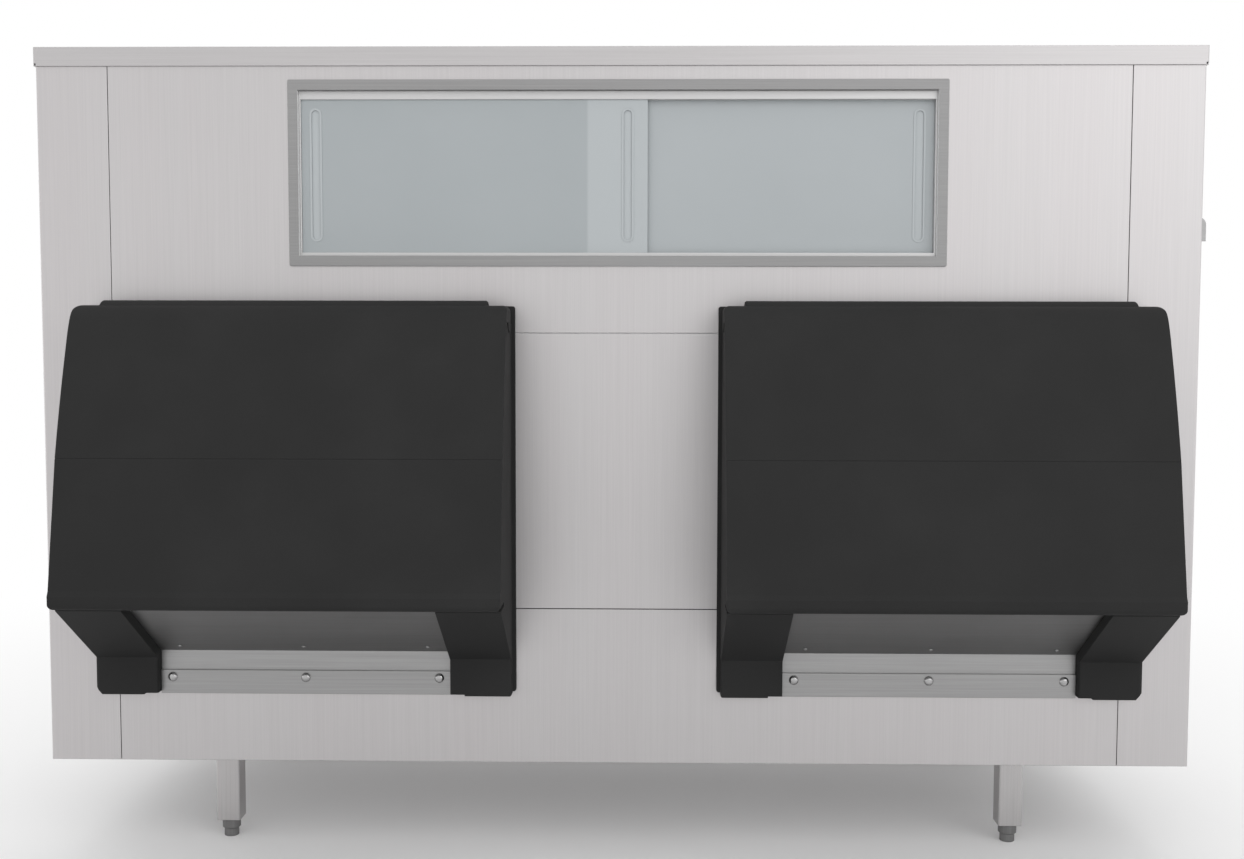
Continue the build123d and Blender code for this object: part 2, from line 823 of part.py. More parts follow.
for place, centre in leg_places.items():
    with BuildPart() as leg:
        with BuildSketch(top_view(tube_low)):
            with Locations(centre):
                RectangleRounded(leg_tube, leg_tube, leg_corner)
        extrude(amount=-tube_low - leg_plate_height)
        with BuildSketch(top_view(tube_low + leg_insert_height)):
            with Locations(centre):
                RectangleRounded(leg_tube - 2 * leg_wall, leg_tube - 2 * leg_wall, leg_corner - leg_wall)
        extrude(amount=-tube_low - leg_insert_height - leg_plate_height, mode=Mode.SUBTRACT)
        with BuildSketch(top_view(-leg_plate_height)):
            with Locations(centre):
                RectangleRounded(leg_plate, leg_plate, leg_corner)
                with GridLocations(leg_bolt_spacing, leg_bolt_spacing, 2, 2):
                    Circle(leg_bolt_hole_radius, mode=Mode.SUBTRACT)
        extrude(amount=leg_plate_height)
        with BuildSketch(top_view(tube_low)):
            with Locations(centre):
                Circle(foot_stem_radius + foot_stem_fit)
        extrude(amount=leg_insert_height, mode=Mode.SUBTRACT)
    leg.part.label = f"leg_{place}"
    export_step(leg.part, f"parts/leg_{place}.step")

    with BuildPart() as foot:
        with BuildSketch(top_view(foot_pad_height - leg_height)):
            with Locations(centre):
                Circle(foot_collar_radius)
        extrude(amount=foot_collar_height)
        chamfer(edges().group_by(Axis.Z)[0], foot_collar_chamfer)
        with BuildSketch(top_view(-leg_height)):
            with Locations(centre):
                Circle(foot_pad_radius)
        extrude(amount=foot_pad_height)
        fillet(edges().group_by(Axis.Z)[0], foot_pad_rounding)
        with BuildSketch(top_view(tube_low)):
            with Locations(centre):
                Circle(foot_stem_radius)
        extrude(amount=foot_stem_length)
    foot.part.label = f"foot_{place}"
    export_step(foot.part, f"parts/foot_{place}.step")

with BuildPart() as leg_bolts:
    with BuildSketch(top_view(-leg_plate_height)):
        with Locations(*leg_places.values()):
            with GridLocations(leg_bolt_spacing, leg_bolt_spacing, 2, 2):
                Circle(leg_bolt_radius)
    extrude(amount=leg_plate_height + outer_sheet)
    with BuildSketch(top_view(-leg_plate_height)):
        with Locations(*leg_places.values()):
            with GridLocations(leg_bolt_spacing, leg_bolt_spacing, 2, 2):
                RegularPolygon(leg_bolt_head_radius, 6)
    extrude(amount=-leg_bolt_head_height)
leg_bolts.part.label = "leg_bolts"
export_step(leg_bolts.part, "parts/leg_bolts.step")

# Door profiles in side view
with BuildSketch() as lid_section:
    add(under_lid(0, lid_low))
    fillet(vertices().sort_by_distance((lid_reach, lid_low))[0], lip_rounding)

with BuildSketch() as cheek_section:
    add(pillar_profile())
    add(under_lid(cheek_inset, cheek_low))

with BuildSketch() as fairing_section:
    add(under_lid(cheek_inset, cheek_low))
    add(behind_skirt(skirt_clearance), mode=Mode.INTERSECT)
    add(hinge_disc(skirt_ear_radius + skirt_clearance), mode=Mode.SUBTRACT)
    add(pillar_profile())

with BuildSketch() as ear_section:
    add(hinge_disc(ear_radius))
    with Locations((0, chute_high)):
        Rectangle(ear_block_reach, lid_top - chute_high, align=(Align.MIN, Align.MIN))

with BuildSketch() as hollow_section:
    add(cheek_section.sketch)
    offset(amount=-chute_wall)
    with Locations((-through, pillar_low + chute_wall)):
        Rectangle(
            pillar_front - chute_wall + through,
            chute_high - pillar_low - 2 * chute_wall,
            align=(Align.MIN, Align.MIN),
        )
    with Locations((-through, 0)):
        Rectangle(2 * lid_reach, chute_high - chute_wall, align=(Align.MIN, Align.MIN), mode=Mode.INTERSECT)

web_inset = lid_liner_inset + lid_liner_thickness

with BuildSketch() as web_section:
    add(under_lid(0, lid_rib_low, hinge_reach))
    add(under_lid(web_inset - web_setback, 0), mode=Mode.SUBTRACT)
    add(hinge_disc(web_reach), mode=Mode.INTERSECT)
    add(hinge_disc(barrel_radius - barrel_wall))

with BuildSketch() as barrel_section:
    back_turn = radians(barrel_back_angle)
    front_turn = radians(barrel_front_angle)
    add(hinge_disc(barrel_radius))
    add(hinge_disc(barrel_radius - barrel_wall), mode=Mode.SUBTRACT)
    with BuildLine():
        Polyline(
            (hinge_reach, hinge_height),
            (hinge_reach + web_reach * cos(back_turn), hinge_height + web_reach * sin(back_turn)),
            (hinge_reach - web_reach, hinge_height - web_reach),
            (hinge_reach + web_reach, hinge_height - web_reach),
            (hinge_reach + web_reach * cos(front_turn), hinge_height + web_reach * sin(front_turn)),
            close=True,
        )
    make_face(mode=Mode.SUBTRACT)

lid_liner_low = lid_low + lid_shell + seat_gap
lid_liner_high = lid_rib_low - seat_gap

with BuildSketch() as lid_liner_section:
    add(under_lid(lid_liner_inset, lid_liner_low))
    add(under_lid(web_inset, 0), mode=Mode.SUBTRACT)
    with Locations((0, lid_liner_high)):
        Rectangle(lid_reach, lid_top, align=(Align.MIN, Align.MIN), mode=Mode.SUBTRACT)

with BuildSketch() as lid_gasket_section:
    add(under_lid(web_inset + seat_gap, lid_gasket_low))
    add(under_lid(cheek_inset - lid_gasket_gap, 0), mode=Mode.SUBTRACT)
    with Locations((0, lid_gasket_high)):
        Rectangle(lid_reach, lid_top, align=(Align.MIN, Align.MIN), mode=Mode.SUBTRACT)

with BuildSketch() as handle_section:
    handle_low = handle_top_height - handle_height
    with BuildLine():
        Polyline(
            (-gate_behind, handle_low),
            (handle_sheet - gate_behind, handle_low),
            (handle_sheet - gate_behind, handle_top_height - handle_sheet),
            (handle_reach - handle_sheet, handle_top_height - handle_sheet),
            (handle_reach - handle_sheet, handle_top_height - handle_lip),
            (handle_reach, handle_top_height - handle_lip),
            (handle_reach, handle_top_height),
            (-gate_behind, handle_top_height),
            close=True,
        )
    make_face()

with BuildSketch() as tray_section:
    tray_under = tray_foot_height + tray_slope * tray_sheet
    tray_end = tray_foot_height + tray_slope * tray_reach
    with BuildLine():
        Polyline(
            (0, tray_flange_low),
            (tray_sheet, tray_flange_low),
            (tray_sheet, tray_under),
            (tray_reach, tray_end),
            (tray_reach, tray_end + tray_hem),
            (tray_reach - tray_sheet, tray_end + tray_hem),
            (tray_reach - tray_sheet, tray_end - tray_slope * tray_sheet + tray_rise),
            (0, tray_foot_height + tray_rise),
            close=True,
        )
    make_face()

with BuildSketch() as floor_lip_section:
    lip_low = tray_foot_height + tray_rise
    with BuildLine():
        Polyline(
            (-floor_lip_blend, chute_low - chute_wall),
            (0, chute_low - chute_wall),
            (0, lip_low),
            (floor_lip_length, lip_low + tray_slope * floor_lip_length),
            (floor_lip_length, lip_low + floor_lip_rise + tray_slope * floor_lip_length),
            (0, lip_low + floor_lip_rise),
            (-floor_lip_blend, chute_low),
            close=True,
        )
    make_face()

for door, place in door_places.items():
    # Chute frame: flange, pillars, cheeks, ears and the throat through the wall, moulded in one
    with BuildPart() as chute_frame:
        with BuildSketch(front_view(0, place)):
            with Locations((0, (door_flange_low + door_flange_high) / 2)):
                RectangleRounded(
                    2 * door_flange_half_width, door_flange_high - door_flange_low, door_flange_corner
                )
        extrude(amount=door_flange_thickness)
        with BuildSketch(*side_bands(place, chute_half_width, cheek_half_width)):
            add(cheek_section.sketch)
        extrude(amount=cheek_half_width - chute_half_width)
        with BuildSketch(*side_bands(place, cheek_half_width, pillar_half_width)):
            add(fairing_section.sketch)
        extrude(amount=pillar_half_width - cheek_half_width)
        with BuildSketch(*side_bands(place, chute_half_width, ear_half_width)):
            add(hinge_disc(barrel_radius + barrel_clearance))
        extrude(amount=ear_half_width - chute_half_width, mode=Mode.SUBTRACT)
        with BuildSketch(front_view(0, place)):
            add(upright(chute_high, door_flange_high, -ear_half_width, ear_half_width))
        extrude(amount=header_thickness)
        with BuildSketch(*side_bands(place, ear_half_width, cheek_half_width)):
            add(ear_section.sketch)
        extrude(amount=cheek_half_width - ear_half_width)
        with BuildSketch(front_view(-wall, place)):
            add(upright(
                chute_low - chute_wall, chute_high + chute_wall,
                -chute_half_width - chute_wall, chute_half_width + chute_wall,
            ))
        extrude(amount=wall)
        with BuildSketch(front_view(-wall, place)):
            add(upright(chute_low, chute_high, -chute_half_width, chute_half_width))
        extrude(amount=wall + door_flange_thickness, mode=Mode.SUBTRACT)
        with BuildSketch(front_view(0, place)):
            add(upright(door_flange_low, chute_low, -chute_half_width, chute_half_width))
        extrude(amount=door_flange_thickness, mode=Mode.SUBTRACT)
        with BuildSketch(side_view(place)):
            add(floor_lip_section.sketch)
        extrude(amount=chute_half_width, both=True)
        with BuildSketch(*side_bands(place, chute_half_width + chute_wall, cheek_half_width - chute_wall)):
            add(hollow_section.sketch)
        extrude(amount=cheek_half_width - chute_half_width - 2 * chute_wall, mode=Mode.SUBTRACT)
        with BuildSketch(front_view(pillar_front, place)):
            for side, chamfer_size in pillar_chamfers[door].items():
                with BuildLine():
                    Polyline(
                        (side * pillar_half_width, pillar_low),
                        (side * (pillar_half_width - chamfer_size[0]), pillar_low),
                        (side * pillar_half_width, pillar_low + chamfer_size[1]),
                        close=True,
                    )
                make_face()
            for step_x in (-chute_half_width - pillar_step_width, chute_half_width):
                add(upright(pillar_low, pillar_low + pillar_step_height, step_x, step_x + pillar_step_width))
        extrude(amount=-pillar_front, mode=Mode.SUBTRACT)
        foot_edges = edges().filter_by(Axis.Z).filter_by_position(
            Axis.Y, front_y - pillar_front, front_y - pillar_front
        )
        fillet(foot_edges, pillar_foot_rounding)
        with BuildSketch(side_view(place)):
            add(hinge_disc(rod_radius + rod_fit))
        extrude(amount=cheek_half_width - rod_end_cover, both=True, mode=Mode.SUBTRACT)
        with BuildSketch(rivet_plane(place)):
            with GridLocations(rivet_spacing, 0, 3, 1):
                Circle(rivet_hole_radius)
        extrude(amount=-2 * (tray_sheet + chute_wall), mode=Mode.SUBTRACT)
    chute_frame.part.label = f"chute_frame_{door}"
    export_step(chute_frame.part, f"parts/chute_frame_{door}.step")

    with BuildPart() as chute_tray:
        with BuildSketch(side_view(place)):
            add(tray_section.sketch)
        extrude(amount=chute_half_width - seat_gap, both=True)
        with BuildSketch(front_view(0, place)):
            with Locations((0, strip_bolt_height)):
                with GridLocations(strip_bolt_spacing, 0, 3, 1):
                    Circle(strip_bolt_hole_radius)
        extrude(amount=tray_sheet, mode=Mode.SUBTRACT)
        with BuildSketch(rivet_plane(place)):
            with GridLocations(rivet_spacing, 0, 3, 1):
                Circle(rivet_hole_radius)
        extrude(amount=-2 * tray_sheet, mode=Mode.SUBTRACT)
    chute_tray.part.label = f"chute_tray_{door}"
    export_step(chute_tray.part, f"parts/chute_tray_{door}.step")

    with BuildPart() as clamp_strip:
        with BuildSketch(front_view(tray_sheet, place)):
            add(upright(strip_low, strip_high, seat_gap - chute_half_width, chute_half_width - seat_gap))
            with Locations((0, strip_bolt_height)):
                with GridLocations(strip_bolt_spacing, 0, 3, 1):
                    Circle(strip_bolt_hole_radius, mode=Mode.SUBTRACT)
        extrude(amount=strip_thickness)
    clamp_strip.part.label = f"clamp_strip_{door}"
    export_step(clamp_strip.part, f"parts/clamp_strip_{door}.step")

    with BuildPart() as strip_bolts:
        with BuildSketch(front_view(-outer_sheet, place)):
            with Locations((0, strip_bolt_height)):
                with GridLocations(strip_bolt_spacing, 0, 3, 1):
                    Circle(strip_bolt_radius)
        extrude(amount=outer_sheet + tray_sheet + strip_thickness)
        with BuildSketch(front_view(tray_sheet + strip_thickness, place)):
            with Locations((0, strip_bolt_height)):
                with GridLocations(strip_bolt_spacing, 0, 3, 1):
                    Circle(strip_bolt_head_radius)
        extrude(amount=strip_bolt_head_height)
        fillet(
            edges().filter_by(GeomType.CIRCLE).group_by(Axis.Y)[0],
            strip_bolt_head_rounding,
        )
    strip_bolts.part.label = f"strip_bolts_{door}"
    export_step(strip_bolts.part, f"parts/strip_bolts_{door}.step")

    with BuildPart() as tray_rivets:
        with BuildSketch(rivet_plane(place)):
            with GridLocations(rivet_spacing, 0, 3, 1):
                Circle(rivet_radius)
        extrude(amount=-tray_sheet - chute_wall)
        with BuildSketch(rivet_plane(place)):
            with GridLocations(rivet_spacing, 0, 3, 1):
                Circle(rivet_head_radius)
        extrude(amount=rivet_head_height, taper=rivet_head_taper)
    tray_rivets.part.label = f"tray_rivets_{door}"
    export_step(tray_rivets.part, f"parts/tray_rivets_{door}.step")

    with BuildPart() as hinge_rod:
        with BuildSketch(side_view(place)):
            add(hinge_disc(rod_radius))
        extrude(amount=cheek_half_width - rod_end_cover - seat_gap, both=True)
    hinge_rod.part.label = f"hinge_rod_{door}"
    export_step(hinge_rod.part, f"parts/hinge_rod_{door}.step")

    # Lid: bulging shell with side skirts, a lip along its foot and a webbed barrel round the hinge rod
    with BuildPart() as barrel:
        with BuildSketch(side_view(place)):
            add(barrel_section.sketch)
        extrude(amount=barrel_half_width, both=True)
        fillet(edges().filter_by(GeomType.CIRCLE).group_by(SortBy.RADIUS)[-1], barrel_end_rounding)

    with BuildPart() as lid:
        with BuildSketch(side_view(place)):
            add(lid_section.sketch)
        extrude(amount=lid_half_width, both=True)
        with BuildSketch(front_view(0, place)):
            with Locations((0, (lid_low + lid_top) / 2)):
                RectangleRounded(2 * lid_half_width, lid_top - lid_low, lid_corner)
        extrude(amount=lid_reach, mode=Mode.INTERSECT)
        with BuildSketch(side_view(place)):
            add(under_lid(lid_shell, lid_low + lid_shell, -through))
            add(upright(lid_low - through, lid_liner_low, -through, lid_reach - web_inset))
        extrude(amount=lid_half_width - lid_shell, both=True, mode=Mode.SUBTRACT)
        with BuildSketch(side_view(place)):
            add(under_lid(0, lid_rib_low))
            add(under_lid(web_inset, 0), mode=Mode.SUBTRACT)
            with Locations((0, lid_rib_high)):
                Rectangle(lid_reach, lid_top, align=(Align.MIN, Align.MIN), mode=Mode.SUBTRACT)
        extrude(amount=lid_half_width - lid_shell, both=True)
        with BuildSketch(*side_bands(place, barrel_half_width, lid_half_width - lid_shell)):
            add(behind_skirt(0))
        extrude(amount=lid_half_width - lid_shell - barrel_half_width, mode=Mode.SUBTRACT)
        with BuildSketch(*side_bands(place, lid_half_width - lid_shell, lid_half_width + through)):
            add(behind_skirt(0))
            add(hinge_disc(skirt_ear_radius), mode=Mode.SUBTRACT)
        extrude(amount=lid_shell + through, mode=Mode.SUBTRACT)
        with BuildSketch(side_view(place)):
            add(hinge_disc(barrel_radius - barrel_wall / 2))
            add(upright(chute_high, lid_top + through, -through, hinge_reach))
        extrude(amount=barrel_half_width, both=True, mode=Mode.SUBTRACT)
        add(barrel.part)
        with BuildSketch(*[side_view(place + x) for x in web_places]):
            add(web_section.sketch)
        extrude(amount=web_thickness)
        with BuildSketch(side_view(place)):
            add(hinge_disc(rod_radius + rod_fit))
        extrude(amount=barrel_half_width, both=True, mode=Mode.SUBTRACT)
        with BuildSketch(side_view(place)):
            with Locations((waist_reach, waist_height)):
                Circle(crease_radius)
        extrude(amount=lid_half_width, both=True, mode=Mode.SUBTRACT)
    lid.part.label = f"lid_{door}"
    export_step(lid.part, f"parts/lid_{door}.step")

    with BuildPart() as lid_liner:
        with BuildSketch(side_view(place)):
            add(lid_liner_section.sketch)
        extrude(amount=lid_half_width - lid_shell - seat_gap, both=True)
    lid_liner.part.label = f"lid_liner_{door}"
    export_step(lid_liner.part, f"parts/lid_liner_{door}.step")

    with BuildPart() as lid_gaskets:
        with BuildSketch(*side_bands(place, lid_gasket_inner, lid_gasket_inner + lid_gasket_width)):
            add(lid_gasket_section.sketch)
        extrude(amount=lid_gasket_width)
    lid_gaskets.part.label = f"lid_gaskets_{door}"
    export_step(lid_gaskets.part, f"parts/lid_gaskets_{door}.step")

    # Ice gate behind the lid, sliding up in two U tracks on the throat's walls
    with BuildPart() as gate_tracks:
        with BuildSketch(top_view(chute_low, place)):
            for side in (-1, 1):
                with Locations((side * (chute_half_width - gate_track_width / 2), gate_middle)):
                    Rectangle(gate_track_width, gate_groove + 2 * gate_track_wall)
                groove_middle = chute_half_width - gate_track_wall - gate_lip_width / 2
                with Locations((side * groove_middle, gate_middle)):
                    Rectangle(gate_lip_width, gate_groove, mode=Mode.SUBTRACT)
        extrude(amount=gate_track_high - chute_low)
    gate_tracks.part.label = f"gate_tracks_{door}"
    export_step(gate_tracks.part, f"parts/gate_tracks_{door}.step")

    with BuildPart() as ice_gate:
        with BuildSketch(front_view(-gate_behind, place)):
            add(upright(chute_low + seat_gap, gate_high, -gate_half_width, gate_half_width))
        extrude(amount=-gate_thickness)
    ice_gate.part.label = f"ice_gate_{door}"
    export_step(ice_gate.part, f"parts/ice_gate_{door}.step")

    with BuildPart() as gate_handle:
        with BuildSketch(side_view(place)):
            add(handle_section.sketch)
        extrude(amount=handle_half_width, both=True)
    gate_handle.part.label = f"gate_handle_{door}"
    export_step(gate_handle.part, f"parts/gate_handle_{door}.step")
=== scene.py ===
from math import cos, fmod, pi, radians, sin

import bmesh
import bpy
from mathutils import Matrix, Vector


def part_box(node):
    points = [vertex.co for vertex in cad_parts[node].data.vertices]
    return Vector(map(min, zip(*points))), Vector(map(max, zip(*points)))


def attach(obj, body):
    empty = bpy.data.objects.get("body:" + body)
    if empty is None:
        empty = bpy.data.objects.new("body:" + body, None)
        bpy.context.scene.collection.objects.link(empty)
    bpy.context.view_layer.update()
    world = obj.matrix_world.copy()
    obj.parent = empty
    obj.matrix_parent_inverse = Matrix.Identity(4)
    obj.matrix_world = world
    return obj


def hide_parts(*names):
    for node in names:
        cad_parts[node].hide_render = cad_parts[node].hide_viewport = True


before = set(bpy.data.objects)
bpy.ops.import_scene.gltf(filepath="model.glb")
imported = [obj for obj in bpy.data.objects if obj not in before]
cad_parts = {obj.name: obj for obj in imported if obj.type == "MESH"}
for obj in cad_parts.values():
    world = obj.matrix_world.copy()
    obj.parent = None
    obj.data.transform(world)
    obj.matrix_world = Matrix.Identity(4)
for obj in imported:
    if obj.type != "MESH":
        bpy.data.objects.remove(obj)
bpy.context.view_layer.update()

# Camera: a little right of the middle, looking slightly down at the bin
PHOTO_WIDTH = 1244
FOCAL_PIXELS = 1450
SENSOR_WIDTH = 36.0
CAMERA_PLACE = (0.0478, -2.5928, 0.8592)
CAMERA_YAW = 0.0171
CAMERA_PITCH = 0.0659
CAMERA_ROLL = 0.0017


def new_object(name, data):
    """Puts new data into the scene as an object."""
    thing = bpy.data.objects.new(name, data)
    bpy.context.scene.collection.objects.link(thing)
    return thing


def add_camera():
    """Camera at the height, distance and tilt that the bin is seen from."""
    level = Vector((cos(CAMERA_YAW), sin(CAMERA_YAW), 0.0))
    ahead = Vector((-sin(CAMERA_YAW), cos(CAMERA_YAW), 0.0))
    forward = cos(CAMERA_PITCH) * ahead + Vector((0.0, 0.0, -sin(CAMERA_PITCH)))
    upward = level.cross(forward)
    right = cos(CAMERA_ROLL) * level + sin(CAMERA_ROLL) * upward
    up = cos(CAMERA_ROLL) * upward - sin(CAMERA_ROLL) * level
    data = bpy.data.cameras.new("camera")
    data.sensor_fit = "HORIZONTAL"
    data.sensor_width = SENSOR_WIDTH
    data.lens = SENSOR_WIDTH * FOCAL_PIXELS / PHOTO_WIDTH
    camera = new_object("camera", data)
    stance = Matrix((right, up, -forward)).transposed().to_4x4()
    camera.matrix_world = Matrix.Translation(CAMERA_PLACE) @ stance
    bpy.context.scene.camera = camera


def add_softbox(name, place, target, size, power):
    """Soft rectangular lamp at a place, turned to a target."""
    data = bpy.data.lights.new(name, "AREA")
    data.shape = "RECTANGLE"
    data.size, data.size_y = size
    data.energy = power
    lamp = new_object(name, data)
    aim = (Vector(target) - Vector(place)).to_track_quat("-Z", "Y")
    lamp.matrix_world = Matrix.Translation(place) @ aim.to_matrix().to_4x4()


# Colour sockets of a Mix node: its first and second colour, and its result
MIX_FIRST = 6
MIX_SECOND = 7
MIX_RESULT = 2


class Nodes:
    """Small helper that adds and joins nodes in one tree."""

    def __init__(self, tree):
        self.tree = tree

    def add(self, kind, inputs=None, **settings):
        """Adds a node, sets its properties, and sets or joins its inputs."""
        node = self.tree.nodes.new(kind)
        for key, value in settings.items():
            setattr(node, key, value)
        for key, value in (inputs or {}).items():
            if isinstance(value, bpy.types.NodeSocket):
                self.join(value, node.inputs[key])
            else:
                node.inputs[key].default_value = value
        return node

    def join(self, value, socket):
        """Feeds a value into a socket."""
        self.tree.links.new(value, socket)

    def math(self, operation, first, second=0.0, third=0.0):
        """Result of one Math node."""
        return self.add("ShaderNodeMath", {0: first, 1: second, 2: third}, operation=operation).outputs[0]

    def vectors(self, operation, first, second):
        """Vector Math node of two vectors."""
        return self.add("ShaderNodeVectorMath", {0: first, 1: second}, operation=operation)

    def span(self, value, low, high, to_low=0.0, to_high=1.0):
        """Value moved from one span to another, smoothly and within its ends."""
        settings = {"Value": value, "From Min": low, "From Max": high, "To Min": to_low, "To Max": to_high}
        return self.add("ShaderNodeMapRange", settings, interpolation_type="SMOOTHSTEP").outputs[0]

    def tint(self, factor, first, second, blend="MIX"):
        """Blend of two colours."""
        mix = self.add("ShaderNodeMix", {"Factor": factor}, data_type="RGBA", blend_type=blend)
        for key, value in ((MIX_FIRST, first), (MIX_SECOND, second)):
            if isinstance(value, bpy.types.NodeSocket):
                self.join(value, mix.inputs[key])
            else:
                mix.inputs[key].default_value = (*value, 1.0)
        return mix.outputs[MIX_RESULT]

    def place(self, axis=None):
        """Place on the object, whole or along one axis."""
        place = self.add("ShaderNodeTexCoord").outputs["Object"]
        return self.add("ShaderNodeSeparateXYZ", {0: place}).outputs[axis] if axis else place


def new_group(name, inputs, outputs):
    """Empty shader group with named sockets: inputs map a name to its kind and default."""
    tree = bpy.data.node_groups.new(name, "ShaderNodeTree")
    for label, (kind, default) in inputs.items():
        tree.interface.new_socket(label, in_out="INPUT", socket_type=kind).default_value = default
    for label, kind in outputs.items():
        tree.interface.new_socket(label, in_out="OUTPUT", socket_type=kind)
    nodes = Nodes(tree)
    return tree, nodes, nodes.add("NodeGroupInput").outputs, nodes.add("NodeGroupOutput").inputs


# Effects that several finishes share, and the squeeze of scratches that run upright or across
NUMBER = "NodeSocketFloat"
ARROW = "NodeSocketVector"
UPRIGHT = (900.0, 900.0, 5.0)
ACROSS = (5.0, 900.0, 900.0)
FINE_SCRATCHES = 1.3
COARSE_SCRATCHES = 0.42
BAND_SCALE = 0.006
BAND_SPAN = (0.25, 0.75)
CLOUD_SCALE = 2.3
UNEVENNESS_SCALE = 7.0
EDGE_SAMPLES = 6
EDGE_SPAN = (0.995, 0.90)


def build_brushed_grain():
    """Parallel scratches of brushed sheet, fine and coarse, in broad bands: stretch squeezes each axis."""
    tree, nodes, given, result = new_group(
        "brushed_grain",
        {"Stretch": (ARROW, UPRIGHT), "Clouding": (NUMBER, 1.0)},
        {"Lines": NUMBER, "Clouds": NUMBER, "Bands": NUMBER},
    )
    place = nodes.place()
    squeezed = nodes.vectors("MULTIPLY", place, given["Stretch"]).outputs["Vector"]

    def noise(where, scale, detail, roughness):
        """Soft noise of one scale."""
        settings = {"Vector": where, "Scale": scale, "Detail": detail, "Roughness": roughness}
        return nodes.add("ShaderNodeTexNoise", settings).outputs["Fac"]

    fine = noise(squeezed, FINE_SCRATCHES, 2.0, 0.6)
    coarse = noise(squeezed, COARSE_SCRATCHES, 4.0, 0.7)
    nodes.join(nodes.math("MULTIPLY_ADD", coarse, 0.5, nodes.math("MULTIPLY", fine, 0.5)), result["Lines"])
    clouds = nodes.math("SUBTRACT", noise(place, CLOUD_SCALE, 4.0, 0.55), 0.5)
    nodes.join(nodes.math("MULTIPLY_ADD", clouds, given["Clouding"], 0.5), result["Clouds"])
    nodes.join(nodes.span(noise(squeezed, BAND_SCALE, 4.0, 0.6), *BAND_SPAN), result["Bands"])
    return tree


def build_soft_edges():
    """Rounded look of every edge, and a mask of the strip along it."""
    tree, nodes, given, result = new_group(
        "soft_edges",
        {"Radius": (NUMBER, 0.001)},
        {"Normal": ARROW, "Edge": NUMBER},
    )
    bevel = nodes.add("ShaderNodeBevel", {"Radius": given["Radius"]}, samples=EDGE_SAMPLES)
    rounded = bevel.outputs["Normal"]
    flat = nodes.add("ShaderNodeNewGeometry").outputs["Normal"]
    along = nodes.vectors("DOT_PRODUCT", rounded, flat).outputs["Value"]
    nodes.join(rounded, result["Normal"])
    nodes.join(nodes.span(along, *EDGE_SPAN), result["Edge"])
    return tree


def build_moulded_texture():
    """Pebbled surface of a plastic moulding, with faint broad unevenness."""
    tree, nodes, given, result = new_group(
        "moulded_texture",
        {"Grain": (NUMBER, 900.0)},
        {"Pebbles": NUMBER, "Unevenness": NUMBER},
    )
    place = nodes.place()
    fine = nodes.add("ShaderNodeTexNoise", {"Vector": place, "Scale": given["Grain"], "Detail": 2.0})
    broad = nodes.add("ShaderNodeTexNoise", {"Vector": place, "Scale": UNEVENNESS_SCALE, "Detail": 3.0})
    nodes.join(fine.outputs["Fac"], result["Pebbles"])
    nodes.join(broad.outputs["Fac"], result["Unevenness"])
    return tree


brushed_grain = build_brushed_grain()
soft_edges = build_soft_edges()
moulded_texture = build_moulded_texture()


# Kinds of finish
BUMP_DISTANCE = 0.0002


def grey(level):
    """Colour with no hue."""
    return (level, level, level)


def new_material(name):
    """Material with a Principled shader joined to its output."""
    material = bpy.data.materials.new(name)
    material.use_nodes = True
    shader = material.node_tree.nodes["Principled BSDF"]
    return material, Nodes(material.node_tree), shader


def add_bump(nodes, shader, height, strength, **normal):
    """Bump of one height on a shader, over a softened normal if one is given."""
    settings = {"Height": height, "Strength": strength, "Distance": BUMP_DISTANCE, **normal}
    nodes.join(nodes.add("ShaderNodeBump", settings).outputs["Normal"], shader.inputs["Normal"])


# Brushed sheet: what its scratches, clouds and edges do to its colour and gloss, with painted shade on
# faces turned down or up and a painted highlight on faces turned sideways
CLOUDING = 0.5
STEEL_EDGE_RADIUS = 0.0012
LINE_TONE = 0.7
CLOUD_TONE = 0.3
STEEL_TONES = (0.32, 0.68)
FACING_DOWN = (-0.3, -0.8)
FACING_UP = (0.3, 0.8)
FACING_SIDE = (0.5, 0.8)
LINE_ROUGHNESS = 0.14
CLOUD_ROUGHNESS = 0.10
EDGE_POLISH = -0.08
LINE_BUMP = 0.12


